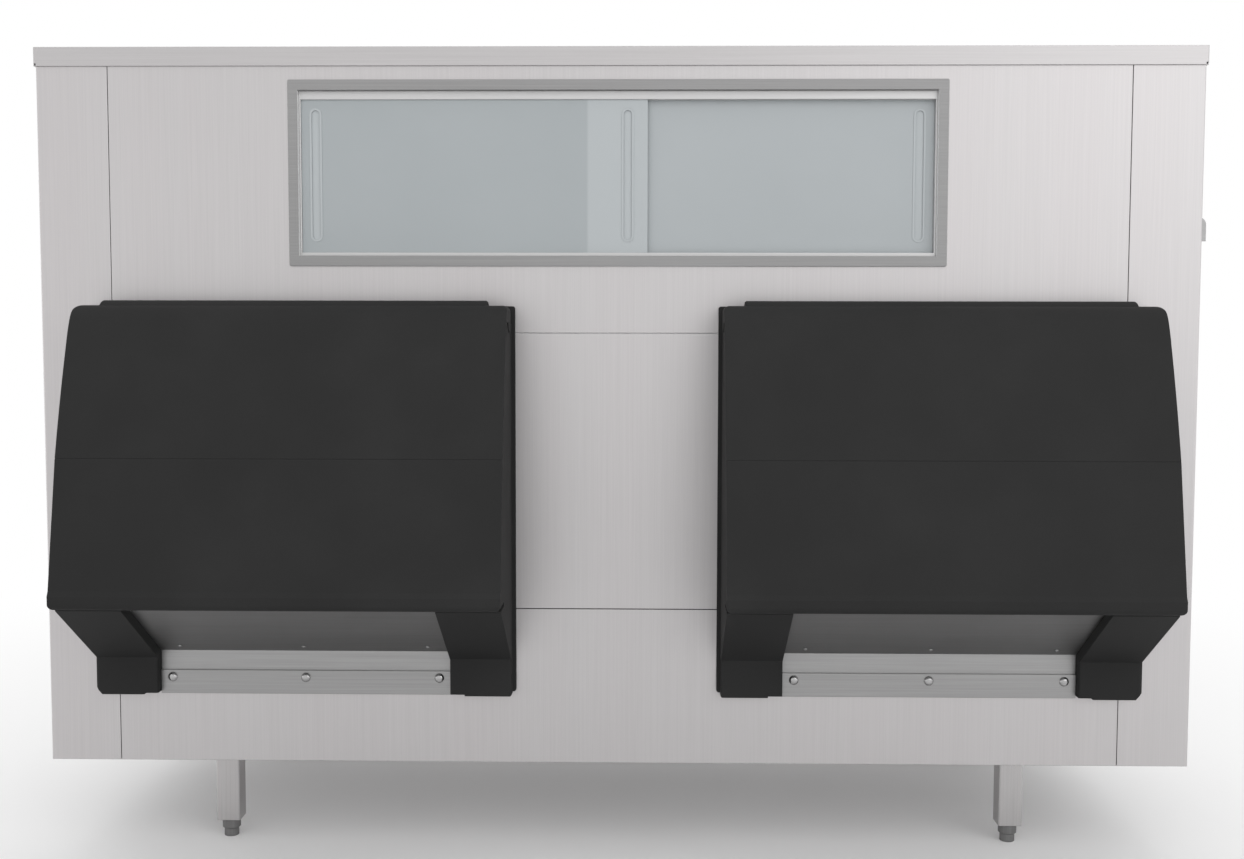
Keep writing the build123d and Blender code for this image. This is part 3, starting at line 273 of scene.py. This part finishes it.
def brushed_steel(name, dark, light, stretch, roughness=0.34, metallic=1.0, blush=(1.0, 0.99, 0.992),
                  painted_shade_below=1.0, painted_shade_above=1.0, painted_side_highlight=None):
    """Brushed sheet: scratches, clouds, blush, polished edges, painted shade below and above, and a
    painted highlight on sideways faces.
    """
    material, nodes, shader = new_material(name)
    squeeze = {"Stretch": stretch, "Clouding": CLOUDING}
    grain = nodes.add("ShaderNodeGroup", squeeze, node_tree=brushed_grain)
    edges = nodes.add("ShaderNodeGroup", {"Radius": STEEL_EDGE_RADIUS}, node_tree=soft_edges)
    lines, clouds = grain.outputs["Lines"], grain.outputs["Clouds"]
    tone = nodes.math("MULTIPLY_ADD", clouds, CLOUD_TONE, nodes.math("MULTIPLY", lines, LINE_TONE))
    colour = nodes.tint(nodes.span(tone, *STEEL_TONES), dark, light)
    colour = nodes.tint(grain.outputs["Bands"], colour, blush, blend="MULTIPLY")
    slope = nodes.add("ShaderNodeSeparateXYZ", {0: edges.outputs["Normal"]}).outputs
    # painted shade: colour darkened where the rounded normal faces down or up, such as tray undersides and
    # the edges of panels at their seams
    for shade, slopes in ((painted_shade_below, FACING_DOWN), (painted_shade_above, FACING_UP)):
        if shade < 1.0:
            colour = nodes.tint(nodes.span(slope["Z"], *slopes), colour, grey(shade), blend="MULTIPLY")
    # painted highlight: faces turned sideways, such as the inner sides of the window frame, are made pale
    if painted_side_highlight:
        sideways = nodes.span(nodes.math("ABSOLUTE", slope["X"]), *FACING_SIDE)
        colour = nodes.tint(sideways, colour, painted_side_highlight)
    nodes.join(colour, shader.inputs["Base Color"])
    rough = nodes.math("MULTIPLY_ADD", nodes.math("SUBTRACT", lines, 0.5), LINE_ROUGHNESS, roughness)
    polished = nodes.math("MULTIPLY_ADD", edges.outputs["Edge"], EDGE_POLISH, rough)
    nodes.join(nodes.math("MULTIPLY_ADD", clouds, CLOUD_ROUGHNESS, polished), shader.inputs["Roughness"])
    shader.inputs["Metallic"].default_value = metallic
    add_bump(nodes, shader, lines, LINE_BUMP, Normal=edges.outputs["Normal"])
    return material


# Moulded plastic and foam: what pebbles and unevenness do to colour and gloss, and painted shade on the
# foam's front, which is black, to darken the seams in front of it, but for a pale band at the seam under
# the window panel
PLASTIC_EDGE_RADIUS = 0.002
PEBBLE_TONE = 0.4
UNEVENNESS_TONE = 0.6
SKIN_TONES = (0.3, 0.9)
UNEVENNESS_ROUGHNESS = 0.15
SEAM_SHADE_BLACK = grey(0.02)
SEAM_PALE_BAND = grey(0.80)
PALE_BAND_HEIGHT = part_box("window_panel")[0][2]
PALE_BAND_REACH = 0.01


def moulded_plastic(name, dark, light, roughness, grain=900.0, bump_strength=0.25, edge_wear_and_highlight=0.25, gloss=0.5,
                    painted_shade_front=None):
    """Moulded plastic or foam: pebbles, unevenness, edges lighter as wear and painted highlight, and
    painted shade on a given front.
    """
    material, nodes, shader = new_material(name)
    skin = nodes.add("ShaderNodeGroup", {"Grain": grain}, node_tree=moulded_texture)
    edges = nodes.add("ShaderNodeGroup", {"Radius": PLASTIC_EDGE_RADIUS}, node_tree=soft_edges)
    pebbles, broad = skin.outputs["Pebbles"], skin.outputs["Unevenness"]
    tone = nodes.math("MULTIPLY_ADD", broad, UNEVENNESS_TONE, nodes.math("MULTIPLY", pebbles, PEBBLE_TONE))
    # edges made lighter, partly as wear and partly as a painted highlight
    wear_and_highlight_tone = nodes.math("MULTIPLY_ADD", edges.outputs["Edge"], edge_wear_and_highlight, tone)
    colour = nodes.tint(nodes.span(wear_and_highlight_tone, *SKIN_TONES), dark, light)
    # painted shade: the foam's front face, ahead of the given depth, is near-black so the seams in front
    # of it look dark, with a pale band at the seam under the window panel
    if painted_shade_front:
        clear = nodes.math("COMPARE", nodes.place("Z"), PALE_BAND_HEIGHT, PALE_BAND_REACH)
        behind = nodes.math("GREATER_THAN", nodes.place("Y"), painted_shade_front)
        colour = nodes.tint(behind, nodes.tint(clear, SEAM_SHADE_BLACK, SEAM_PALE_BAND), colour)
    nodes.join(colour, shader.inputs["Base Color"])
    change = nodes.math("SUBTRACT", broad, 0.5)
    rough = nodes.math("MULTIPLY_ADD", change, UNEVENNESS_ROUGHNESS, roughness)
    nodes.join(rough, shader.inputs["Roughness"])
    shader.inputs["Specular IOR Level"].default_value = gloss
    add_bump(nodes, shader, pebbles, bump_strength, Normal=edges.outputs["Normal"])
    return material


# Clouded plastic of the window: its haze, gloss and edges
PANE_GRAIN = 220.0
PANE_ROUGHNESS = 0.30
HAZE_ROUGHNESS = 0.10
PANE_GLOSS = 0.3
PANE_BUMP = 0.05
PULL_EDGE_RADIUS = 0.0012


def clouded_plastic(name, dark, light, paler_past=None, edge_shade=None):
    """Hazy plastic: paler past a given line, or with painted shade along its edges."""
    material, nodes, shader = new_material(name)
    skin = nodes.add("ShaderNodeGroup", {"Grain": PANE_GRAIN}, node_tree=moulded_texture)
    haze = skin.outputs["Unevenness"]
    colour = nodes.tint(haze, dark, light)
    if paler_past:
        start, end, paler = paler_past
        colour = nodes.tint(nodes.span(nodes.place("X"), start, end), colour, paler)
    # painted shade: the strip along the edges is darkened, drawing thin dark outlines round the pulls
    if edge_shade:
        edges = nodes.add("ShaderNodeGroup", {"Radius": PULL_EDGE_RADIUS}, node_tree=soft_edges)
        colour = nodes.tint(edges.outputs["Edge"], colour, edge_shade)
    nodes.join(colour, shader.inputs["Base Color"])
    rough = nodes.math("MULTIPLY_ADD", haze, HAZE_ROUGHNESS, PANE_ROUGHNESS)
    nodes.join(rough, shader.inputs["Roughness"])
    shader.inputs["Specular IOR Level"].default_value = PANE_GLOSS
    add_bump(nodes, shader, skin.outputs["Pebbles"], PANE_BUMP)
    return material


# Steel finishes
panel_steel = brushed_steel(
    "panel_steel", (0.547, 0.534, 0.537), (0.603, 0.589, 0.592), UPRIGHT, roughness=0.42,
    blush=(1.0, 0.985, 0.988), painted_shade_below=0.35, painted_shade_above=0.06,
)
cover_steel = brushed_steel(
    "cover_steel", (0.510, 0.499, 0.501), (0.570, 0.558, 0.560), ACROSS, roughness=0.42,
)
tray_steel = brushed_steel("tray_steel", grey(0.33), grey(0.43), ACROSS, roughness=0.40, painted_shade_below=0.60)
strip_steel = brushed_steel("strip_steel", grey(0.32), grey(0.40), ACROSS, roughness=0.36)
leg_steel = brushed_steel("leg_steel", (0.52, 0.508, 0.508), (0.62, 0.608, 0.608), UPRIGHT)
bright_steel = brushed_steel("bright_steel", grey(0.55), grey(0.70), UPRIGHT, roughness=0.22)
bolt_steel = brushed_steel("bolt_steel", grey(0.38), grey(0.52), ACROSS, roughness=0.20)
frame_metal = brushed_steel(
    "frame_metal", grey(0.27), grey(0.33), ACROSS, roughness=0.45, metallic=0.6, painted_side_highlight=grey(0.85),
)
track_metal = brushed_steel("track_metal", grey(0.55), grey(0.63), ACROSS, roughness=0.4, metallic=0.7)
foot_metal = brushed_steel("foot_metal", grey(0.17), grey(0.24), UPRIGHT, roughness=0.5, metallic=0.7)

# Plastic, rubber and foam finishes
# the doors' edges are lightened most: partly wear, partly a painted highlight along their edges
door_plastic = moulded_plastic("door_plastic", grey(0.017), grey(0.027), 0.70, edge_wear_and_highlight=0.45, gloss=0.18)
rubber = moulded_plastic("rubber", grey(0.018), grey(0.035), 0.8, grain=1500.0)
liner_plastic = moulded_plastic("liner_plastic", (0.68, 0.70, 0.70), (0.80, 0.81, 0.81), 0.45, edge_wear_and_highlight=0.1)
gate_plastic = moulded_plastic("gate_plastic", (0.66, 0.69, 0.70), (0.76, 0.79, 0.80), 0.4, edge_wear_and_highlight=0.1)
drain_plastic = moulded_plastic("drain_plastic", (0.60, 0.61, 0.61), (0.70, 0.71, 0.71), 0.45, edge_wear_and_highlight=0.1)
# Front face of the foam, which carries the painted shade of the seams
SHADED_FRONT_DEPTH = 0.001
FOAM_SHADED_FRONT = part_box("insulation_front")[0][1] + SHADED_FRONT_DEPTH
foam = moulded_plastic(
    "foam", (0.62, 0.54, 0.34), (0.76, 0.70, 0.50), 0.95, grain=420.0, bump_strength=0.8, edge_wear_and_highlight=0.0,
    painted_shade_front=FOAM_SHADED_FRONT,
)

# Window finishes: the front pane is paler to the right of a line near its right edge
PALER_START = -0.049
PALER_END = -0.044
front_pane = clouded_plastic(
    "front_pane", (0.34, 0.368, 0.380), (0.37, 0.396, 0.409),
    paler_past=(PALER_START, PALER_END, (0.42, 0.447, 0.46)),
)
rear_pane = clouded_plastic("rear_pane", (0.37, 0.396, 0.409), (0.40, 0.426, 0.439))
pull_plastic = clouded_plastic(
    "pull_plastic", (0.415, 0.442, 0.455), (0.43, 0.457, 0.47), edge_shade=(0.35, 0.372, 0.384),
)

# Finish of each slot of the record, and of the nodes that have their own
FINISHES = {
    "stainless": panel_steel,
    "tray_steel": tray_steel,
    "door_plastic": door_plastic,
    "liner_plastic": liner_plastic,
    "foam": foam,
    "frame_metal": frame_metal,
    "clear_pane": front_pane,
    "pull_plastic": pull_plastic,
    "rubber": rubber,
    "gate_plastic": gate_plastic,
    "bright_steel": bright_steel,
    "leg_steel": leg_steel,
    "foot_metal": foot_metal,
    "drain_plastic": drain_plastic,
}
OWN_FINISHES = {
    "top_cover": cover_steel,
    "base_pan": cover_steel,
    "side_hook": strip_steel,
    "window_pane_right": rear_pane,
    "window_track": track_metal,
    "clamp_strip_left": strip_steel,
    "clamp_strip_right": strip_steel,
}


def dress_cad_nodes():
    """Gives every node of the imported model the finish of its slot, or its own."""
    for name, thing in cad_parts.items():
        for slot in thing.material_slots:
            slot.material = OWN_FINISHES.get(name, FINISHES[slot.material.name.split(".")[0]])


# Half outlines of the fasteners, from the shank's end to the middle of the head: each ring's radius, its
# height over the seat, and its form
STRIP_BOLT = (
    (0.0040, -0.0063, "round"), (0.0040, 0.0, "round"), (0.0072, 0.0, "round"), (0.0076, 0.0003, "round"),
    (0.0076, 0.0010, "round"), (0.0070, 0.0016, "round"), (0.0064, 0.0026, "round"),
    (0.0053, 0.0036, "round"), (0.0038, 0.0043, "round"), (0.0018, 0.0046, "round"),
)
LEG_BOLT = (
    (0.0040, -0.0063, "round"), (0.0040, 0.0, "round"), (0.0064, 0.0, "round"), (0.0064, 0.0006, "round"),
    (0.0075, 0.0007, "hexagon"), (0.0075, 0.0046, "hexagon"), (0.0060, 0.0053, "round"),
    (0.0035, 0.0052, "round"),
)
TRAY_RIVET = (
    (0.0024, -0.0055, "round"), (0.0024, 0.0, "round"), (0.0031, 0.0001, "round"),
    (0.0032, 0.0005, "round"), (0.0029, 0.0013, "round"), (0.0021, 0.0020, "round"),
    (0.0014, 0.0022, "round"), (0.0011, 0.0015, "round"),
)
HOOK_SCREW = (
    (0.0020, -0.0033, "round"), (0.0020, 0.0, "round"), (0.0041, 0.0, "round"), (0.0042, 0.0008, "round"),
    (0.0039, 0.0017, "round"), (0.0031, 0.0024, "round"), (0.0024, 0.0026, "round"),
    (0.0022, 0.0025, "cross"), (0.0015, 0.0012, "cross"),
)
RING_STEPS = 24
SHARP_ANGLE = radians(38)
CROSS_ARM = (0, 1, 5)
CROSS_WAIST = 0.42


def widest(outline):
    """Largest radius of a fastener."""
    return max(radius for radius, height, form in outline)


def tallest(outline):
    """Height of a fastener's head over its seat."""
    return max(height for radius, height, form in outline)


def ring_reach(radius, form, step):
    """Distance from the middle to the outline at one step round a ring of the given form."""
    if form == "hexagon":
        return radius * cos(pi / 6) / cos(fmod(2 * pi * step / RING_STEPS, pi / 3) - pi / 6)
    if form == "cross" and step % (RING_STEPS // 4) not in CROSS_ARM:
        return radius * CROSS_WAIST
    return radius


def turned_shape(name, outline):
    """Solid of rings round the third axis, closed at both ends."""
    maker = bmesh.new()
    rings = []
    for radius, height, form in outline:
        ring = []
        for step in range(RING_STEPS):
            turn = 2 * pi * step / RING_STEPS
            reach = ring_reach(radius, form, step)
            ring.append(maker.verts.new((reach * cos(turn), reach * sin(turn), height)))
        rings.append(ring)
    for low, high in zip(rings, rings[1:]):
        for step in range(RING_STEPS):
            after = (step + 1) % RING_STEPS
            maker.faces.new((low[step], low[after], high[after], high[step]))
    maker.faces.new(reversed(rings[0]))
    maker.faces.new(rings[-1])
    mesh = bpy.data.meshes.new(name)
    maker.to_mesh(mesh)
    maker.free()
    mesh.shade_smooth()
    mesh.set_sharp_from_angle(angle=SHARP_ANGLE)
    return new_object(name, mesh)


# Inputs of the fastener tree, and the number sockets of a Random Value node
FASTENER_SOCKETS = (
    ("Centres", "NodeSocketGeometry"),
    ("Fastener", "NodeSocketObject"),
    ("Finish", "NodeSocketMaterial"),
    ("Columns", "NodeSocketInt"),
    ("Rows", "NodeSocketInt"),
    ("Column Spacing", "NodeSocketFloat"),
    ("Row Spacing", "NodeSocketFloat"),
    ("Seed", "NodeSocketInt"),
)
RANDOM_LOW = 2
RANDOM_HIGH = 3
RANDOM_RESULT = 1


def build_fastener_grid():
    """Node tree that sets a flat grid of one fastener round every given point, each turned by chance."""
    tree = bpy.data.node_groups.new("fastener_grid", "GeometryNodeTree")
    tree.is_modifier = True
    for label, kind in FASTENER_SOCKETS:
        tree.interface.new_socket(label, in_out="INPUT", socket_type=kind)
    tree.interface.new_socket("Fasteners", in_out="OUTPUT", socket_type="NodeSocketGeometry")
    nodes = Nodes(tree)
    given = nodes.add("NodeGroupInput").outputs

    def centred(step, count, spacing):
        """Place of a step along a row of even spacing that has its middle at nought."""
        middle = nodes.math("MULTIPLY", nodes.math("SUBTRACT", count, 1.0), 0.5)
        return nodes.math("MULTIPLY", nodes.math("SUBTRACT", step, middle), spacing)

    index = nodes.add("GeometryNodeInputIndex").outputs[0]
    column = nodes.math("MODULO", index, given["Columns"])
    row = nodes.math("FLOOR", nodes.math("DIVIDE", index, given["Columns"]))
    across = centred(column, given["Columns"], given["Column Spacing"])
    along = centred(row, given["Rows"], given["Row Spacing"])
    place = nodes.add("ShaderNodeCombineXYZ", {0: across, 1: along}).outputs[0]
    count = nodes.math("MULTIPLY", given["Columns"], given["Rows"])
    points = nodes.add("GeometryNodePoints", {"Count": count, "Position": place}).outputs[0]
    shape = nodes.add("GeometryNodeObjectInfo", {"Object": given["Fastener"]}).outputs["Geometry"]
    turns = {RANDOM_LOW: 0.0, RANDOM_HIGH: 2 * pi, "Seed": given["Seed"]}
    chance = nodes.add("FunctionNodeRandomValue", turns, data_type="FLOAT").outputs[RANDOM_RESULT]
    turn = nodes.add("ShaderNodeCombineXYZ", {2: chance}).outputs[0]
    facing = nodes.add("FunctionNodeEulerToRotation", {0: turn}).outputs[0]
    copies = {"Points": points, "Instance": shape, "Rotation": facing}
    grid = nodes.add("GeometryNodeInstanceOnPoints", copies).outputs[0]
    grids = {"Points": given["Centres"], "Instance": grid}
    spread = nodes.add("GeometryNodeInstanceOnPoints", grids).outputs[0]
    solid = nodes.add("GeometryNodeRealizeInstances", {0: spread}).outputs[0]
    dressed = {"Geometry": solid, "Material": given["Finish"]}
    done = nodes.add("GeometryNodeSetMaterial", dressed).outputs[0]
    nodes.add("NodeGroupOutput", {0: done})
    return tree


fastener_grid = build_fastener_grid()


def add_fasteners(name, node, outline, finish, facing, right, centres, counts, spacings, seed):
    """Fasteners on a grid round each centre, in their place for good, that stand for their CAD node."""
    shape = turned_shape(name + "_shape", outline)
    stance = Matrix((right, Vector(facing).cross(right), facing)).transposed()
    piece = new_object(name, bpy.data.meshes.new(name))
    piece.data.from_pydata([stance.inverted() @ Vector(centre) for centre in centres], [], [])
    modifier = piece.modifiers.new("grid", "NODES")
    modifier.node_group = fastener_grid
    sockets = [item for item in fastener_grid.interface.items_tree if item.in_out == "INPUT"]
    for socket, value in zip(sockets[1:], (shape, finish, *counts, *spacings, seed)):
        modifier[socket.identifier] = value
    graph = bpy.context.evaluated_depsgraph_get()
    mesh = bpy.data.meshes.new_from_object(piece.evaluated_get(graph), depsgraph=graph)
    mesh.transform(stance.to_4x4())
    mesh.name = name
    piece.modifiers.clear()
    piece.data = mesh
    bpy.data.objects.remove(shape)
    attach(piece, "cabinet")
    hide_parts(node)


def middle_of(node):
    """Middle of a node's box and its size."""
    low, high = (Vector(corner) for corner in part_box(node))
    return (low + high) / 2, high - low


# Directions, and the places of fasteners that a node's box doesn't give
FRONT, DOWN, RIGHT, BACK = (0, -1, 0), (0, 0, -1), (1, 0, 0), (0, 1, 0)
TRAY_ANGLE = 0.5821
RIVET_SEAT_Y = -0.3162
RIVET_SEAT_Z = 0.3610
LEG_BOLT_SPACING = 0.084
LEGS = ("leg_front_left", "leg_front_right", "leg_rear_left", "leg_rear_right")


def add_strip_bolts(door, seed):
    """Row of three domed bolts in a clamp strip."""
    middle, size = middle_of("strip_bolts_" + door)
    seat = (middle.x, middle.y - size.y / 2 + tallest(STRIP_BOLT), middle.z)
    spacing = size.x / 2 - widest(STRIP_BOLT)
    add_fasteners("domed_bolts_" + door, "strip_bolts_" + door, STRIP_BOLT, bolt_steel, FRONT, RIGHT,
                  [seat], (3, 1), (spacing, 0.0), seed)


def add_tray_rivets(door, seed):
    """Row of three blind rivets under a tray."""
    middle, size = middle_of("tray_rivets_" + door)
    seat = (middle.x, RIVET_SEAT_Y, RIVET_SEAT_Z)
    below = (0, -sin(TRAY_ANGLE), -cos(TRAY_ANGLE))
    spacing = size.x / 2 - widest(TRAY_RIVET)
    add_fasteners("blind_rivets_" + door, "tray_rivets_" + door, TRAY_RIVET, tray_steel, below, RIGHT,
                  [seat], (3, 1), (spacing, 0.0), seed)


def add_hook_screws(seed):
    """Two cross-recess screws, one over the other, in the side hook."""
    middle, size = middle_of("hook_screws")
    seat = (middle.x + size.x / 2 - tallest(HOOK_SCREW), middle.y, middle.z)
    spacing = size.z - 2 * widest(HOOK_SCREW)
    add_fasteners("cross_screws", "hook_screws", HOOK_SCREW, bright_steel, RIGHT, BACK,
                  [seat], (1, 2), (0.0, spacing), seed)


def add_leg_bolts(seed):
    """Four hexagon bolts under the plate of each leg."""
    middle, size = middle_of("leg_bolts")
    seat_z = middle.z - size.z / 2 + tallest(LEG_BOLT)
    seats = [(middle_of(leg)[0].x, middle_of(leg)[0].y, seat_z) for leg in LEGS]
    add_fasteners("hexagon_bolts", "leg_bolts", LEG_BOLT, bolt_steel, DOWN, RIGHT,
                  seats, (2, 2), (LEG_BOLT_SPACING, LEG_BOLT_SPACING), seed)


# Floor and light
FLOOR_SIZE = 30.0
FLOOR_FADE_START = 0.7
FLOOR_FADE_END = 2.9
MIRRORED_FADE_START = 2.2
MIRRORED_FADE_END = 4.6
FLOOR_COLOUR = (0.87, 0.87, 0.87)
FLOOR_GLOW = 0.07
FLOOR_ROUGHNESS = 0.9
WHITE = (1.0, 1.0, 1.0, 1.0)
SIDE_LIGHT = 0.36
FRONT_LIGHT = 1.38
FRONT_SPAN = (0.2, 0.95)
ROOF_LIGHT = 0.40
ROOF_SPAN = (0.3, 0.95)


def add_floor():
    """Pale floor that takes the bin's shadow and fades to white around it."""
    half = FLOOR_SIZE / 2
    mesh = bpy.data.meshes.new("floor")
    corners = [(-half, -half, 0), (half, -half, 0), (half, half, 0), (-half, half, 0)]
    mesh.from_pydata(corners, [], [(0, 1, 2, 3)])
    floor = new_object("floor", mesh)
    material, nodes, shader = new_material("floor")
    shader.inputs["Base Color"].default_value = (*FLOOR_COLOUR, 1.0)
    shader.inputs["Roughness"].default_value = FLOOR_ROUGHNESS
    shader.inputs["Specular IOR Level"].default_value = 0.0
    path = nodes.add("ShaderNodeLightPath").outputs
    eye = path["Is Camera Ray"]
    mirrored = nodes.math("MAXIMUM", path["Is Glossy Ray"], path["Is Transmission Ray"])
    reach = nodes.add("ShaderNodeVectorMath", {0: nodes.place()}, operation="LENGTH").outputs["Value"]
    far_seen = nodes.math("MULTIPLY", nodes.span(reach, FLOOR_FADE_START, FLOOR_FADE_END), eye)
    fade_mirrored = nodes.span(reach, MIRRORED_FADE_START, MIRRORED_FADE_END)
    far = nodes.math("MULTIPLY_ADD", fade_mirrored, mirrored, far_seen)
    shader.inputs["Emission Color"].default_value = WHITE
    nodes.join(nodes.math("MULTIPLY", eye, FLOOR_GLOW), shader.inputs["Emission Strength"])
    white = nodes.add("ShaderNodeEmission", {"Color": WHITE, "Strength": 1.0}).outputs[0]
    mix = nodes.add("ShaderNodeMixShader", {0: far, 1: shader.outputs[0], 2: white}).outputs[0]
    nodes.join(mix, nodes.tree.nodes["Material Output"].inputs["Surface"])
    mesh.materials.append(material)


def light_world():
    """Soft light, stronger from in front and above, and white wherever it is seen or mirrored."""
    world = bpy.data.worlds.new("studio")
    world.use_nodes = True
    bpy.context.scene.world = world
    nodes = Nodes(world.node_tree)
    path = nodes.add("ShaderNodeLightPath").outputs
    mirrored = nodes.math("MAXIMUM", path["Is Glossy Ray"], path["Is Transmission Ray"])
    seen = nodes.math("MAXIMUM", path["Is Camera Ray"], mirrored)
    heading = nodes.add("ShaderNodeTexCoord").outputs["Generated"]
    toward = nodes.add("ShaderNodeSeparateXYZ", {0: heading}).outputs
    ahead = nodes.span(nodes.math("ABSOLUTE", toward["Y"]), *FRONT_SPAN, SIDE_LIGHT, FRONT_LIGHT)
    sky = nodes.math("ADD", ahead, nodes.span(toward["Z"], *ROOF_SPAN, 0.0, ROOF_LIGHT))
    missing = nodes.math("SUBTRACT", 1.0, sky)
    background = world.node_tree.nodes["Background"]
    background.inputs["Color"].default_value = WHITE
    nodes.join(nodes.math("MULTIPLY_ADD", seen, missing, sky), background.inputs["Strength"])


bpy.context.scene.view_settings.view_transform = "Standard"
add_camera()
light_world()
add_softbox("key_light", place=(3.4, -4.3, 2.8), target=(0.4, -0.3, 0.8), size=(4.4, 3.2), power=46)
add_softbox("top_light", place=(0.0, -0.6, 3.4), target=(0.0, 0.0, 0.6), size=(3.2, 2.0), power=8)
add_softbox("left_fill", place=(-3.6, -0.6, 0.7), target=(-0.4, 0.0, 0.1), size=(1.6, 1.2), power=7)
add_softbox("right_fill", place=(3.6, -0.6, 0.7), target=(0.4, 0.0, 0.1), size=(1.6, 1.2), power=1)
add_floor()
dress_cad_nodes()
add_strip_bolts("left", seed=0)
add_tray_rivets("left", seed=2)
add_strip_bolts("right", seed=1)
add_tray_rivets("right", seed=3)
add_hook_screws(seed=4)
add_leg_bolts(seed=5)
